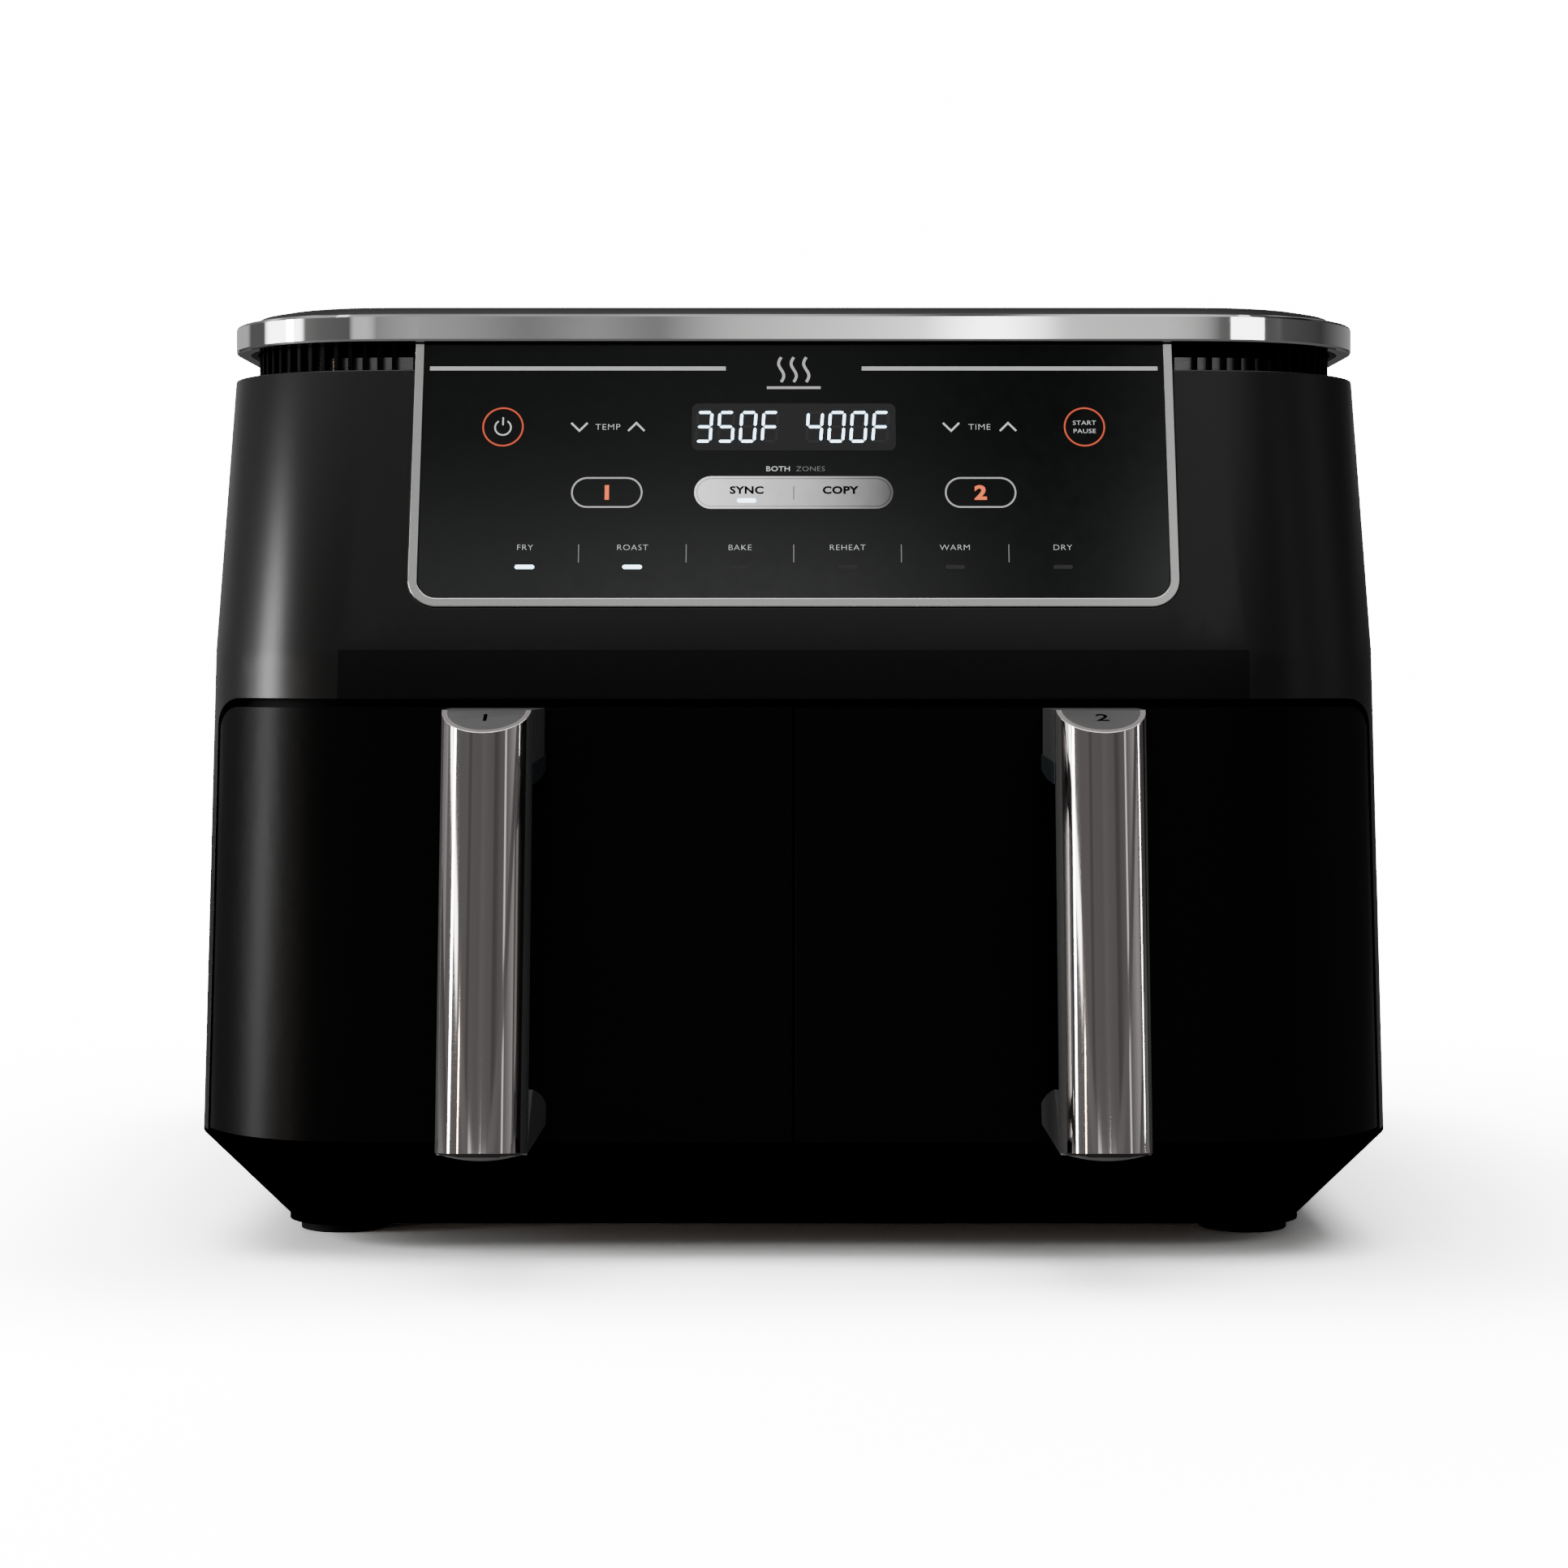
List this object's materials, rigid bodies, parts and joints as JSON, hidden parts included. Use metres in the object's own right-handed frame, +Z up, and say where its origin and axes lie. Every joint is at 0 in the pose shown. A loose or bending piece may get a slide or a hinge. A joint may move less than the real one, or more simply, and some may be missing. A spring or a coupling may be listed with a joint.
{
  "type": "air fryer",
  "caption": "Countertop air fryer with side-by-side cooking drawers, upright handles, a sloping touch panel and a polished trim ring.",
  "frame": {"origin": "on the standing surface, at the centre of the width and of the depth with the handles", "axes": "+X to the right seen from the front, +Y towards the rear, +Z up"},
  "size_m": [0.397, 0.352, 0.314],
  "materials": {
    "housing_black": "fine satin texture",
    "cover_black": "satin",
    "drawer_black": "fine satin texture",
    "inner_black": "matte",
    "vent_grey": "satin gloss",
    "ring_steel": "polished",
    "handle_chrome": "polished dark",
    "handle_grey": "satin",
    "mount_grey": "satin, slightly blue",
    "panel_black_glass": "glossy",
    "display_dark": "glossy",
    "board_green": "solder mask",
    "liner_steel": "galvanised sheet",
    "coated_metal": "ceramic non-stick coating",
    "silicone": "matte silicone",
    "foot_rubber": "matte rubber",
    "wire_steel": "bright",
    "heater_dark": "heat-darkened steel",
    "fan_aluminium": "stamped sheet",
    "fan_plastic": "moulded",
    "motor_steel": "plated"
  },
  "bodies": {
    "root": {"base_pan": "housing_black", "cavity_fascia": "inner_black", "cavity_liner_1": "liner_steel", "cavity_liner_2": "liner_steel", "control_board": "board_green", "cord_gland": "foot_rubber", "cover_screws": "wire_steel", "display_module": "display_dark", "drawer_sensor_1": "fan_plastic", "drawer_sensor_2": "fan_plastic", "feet": "foot_rubber", "heater_guard_1": "wire_steel", "heater_guard_2": "wire_steel", "heating_element_1": "heater_dark", "heating_element_2": "heater_dark", "housing_shell": "housing_black", "motor_1": "motor_steel", "motor_2": "motor_steel", "motor_bracket_1": "inner_black", "motor_bracket_2": "inner_black", "panel_carrier": "inner_black", "panel_frame": "ring_steel", "panel_glass": "panel_black_glass", "power_board": "board_green", "rear_cover": "housing_black", "temperature_probe_1": "wire_steel", "temperature_probe_2": "wire_steel", "thermal_cutout_1": "fan_plastic", "thermal_cutout_2": "fan_plastic", "top_cover": "cover_black", "trim_ring": "ring_steel", "vent_band": "inner_black", "vent_fins": "inner_black", "vent_rail": "vent_grey"},
    "drawer_1": {"drawer_front_1": "drawer_black", "drawer_inner_1": "inner_black", "basket_1": "coated_metal", "handle_core_1": "handle_grey", "handle_shell_1": "handle_chrome", "handle_mount_1": "mount_grey", "handle_screws_1": "wire_steel"},
    "drawer_2": {"drawer_front_2": "drawer_black", "drawer_inner_2": "inner_black", "basket_2": "coated_metal", "handle_core_2": "handle_grey", "handle_shell_2": "handle_chrome", "handle_mount_2": "mount_grey", "handle_screws_2": "wire_steel"},
    "fan_1": {"fan_shaft_1": "wire_steel", "hot_fan_1": "fan_aluminium", "cooling_fan_1": "fan_plastic"},
    "plate_1": {"crisper_plate_1": "coated_metal", "plate_feet_1": "silicone"},
    "fan_2": {"fan_shaft_2": "wire_steel", "hot_fan_2": "fan_aluminium", "cooling_fan_2": "fan_plastic"},
    "plate_2": {"crisper_plate_2": "coated_metal", "plate_feet_2": "silicone"}
  },
  "joints": [
    {"name": "drawer_slide_1", "type": "slide", "parent": "root", "child": "drawer_1", "axis": [0, -1, 0], "range_m": [0, 0.24]},
    {"name": "plate_lift_1", "type": "slide", "parent": "drawer_1", "child": "plate_1", "axis": [0, 0, 1], "range_m": [0, 0.09]},
    {"name": "fan_spin_1", "type": "hinge", "parent": "root", "child": "fan_1", "pos_m": [-0.096, 0.012, 0.2], "axis": [0, 0, 1], "continuous": true},
    {"name": "drawer_slide_2", "type": "slide", "parent": "root", "child": "drawer_2", "axis": [0, -1, 0], "range_m": [0, 0.24]},
    {"name": "plate_lift_2", "type": "slide", "parent": "drawer_2", "child": "plate_2", "axis": [0, 0, 1], "range_m": [0, 0.09]},
    {"name": "fan_spin_2", "type": "hinge", "parent": "root", "child": "fan_2", "pos_m": [0.096, 0.012, 0.2], "axis": [0, 0, 1], "continuous": true}
  ]
}
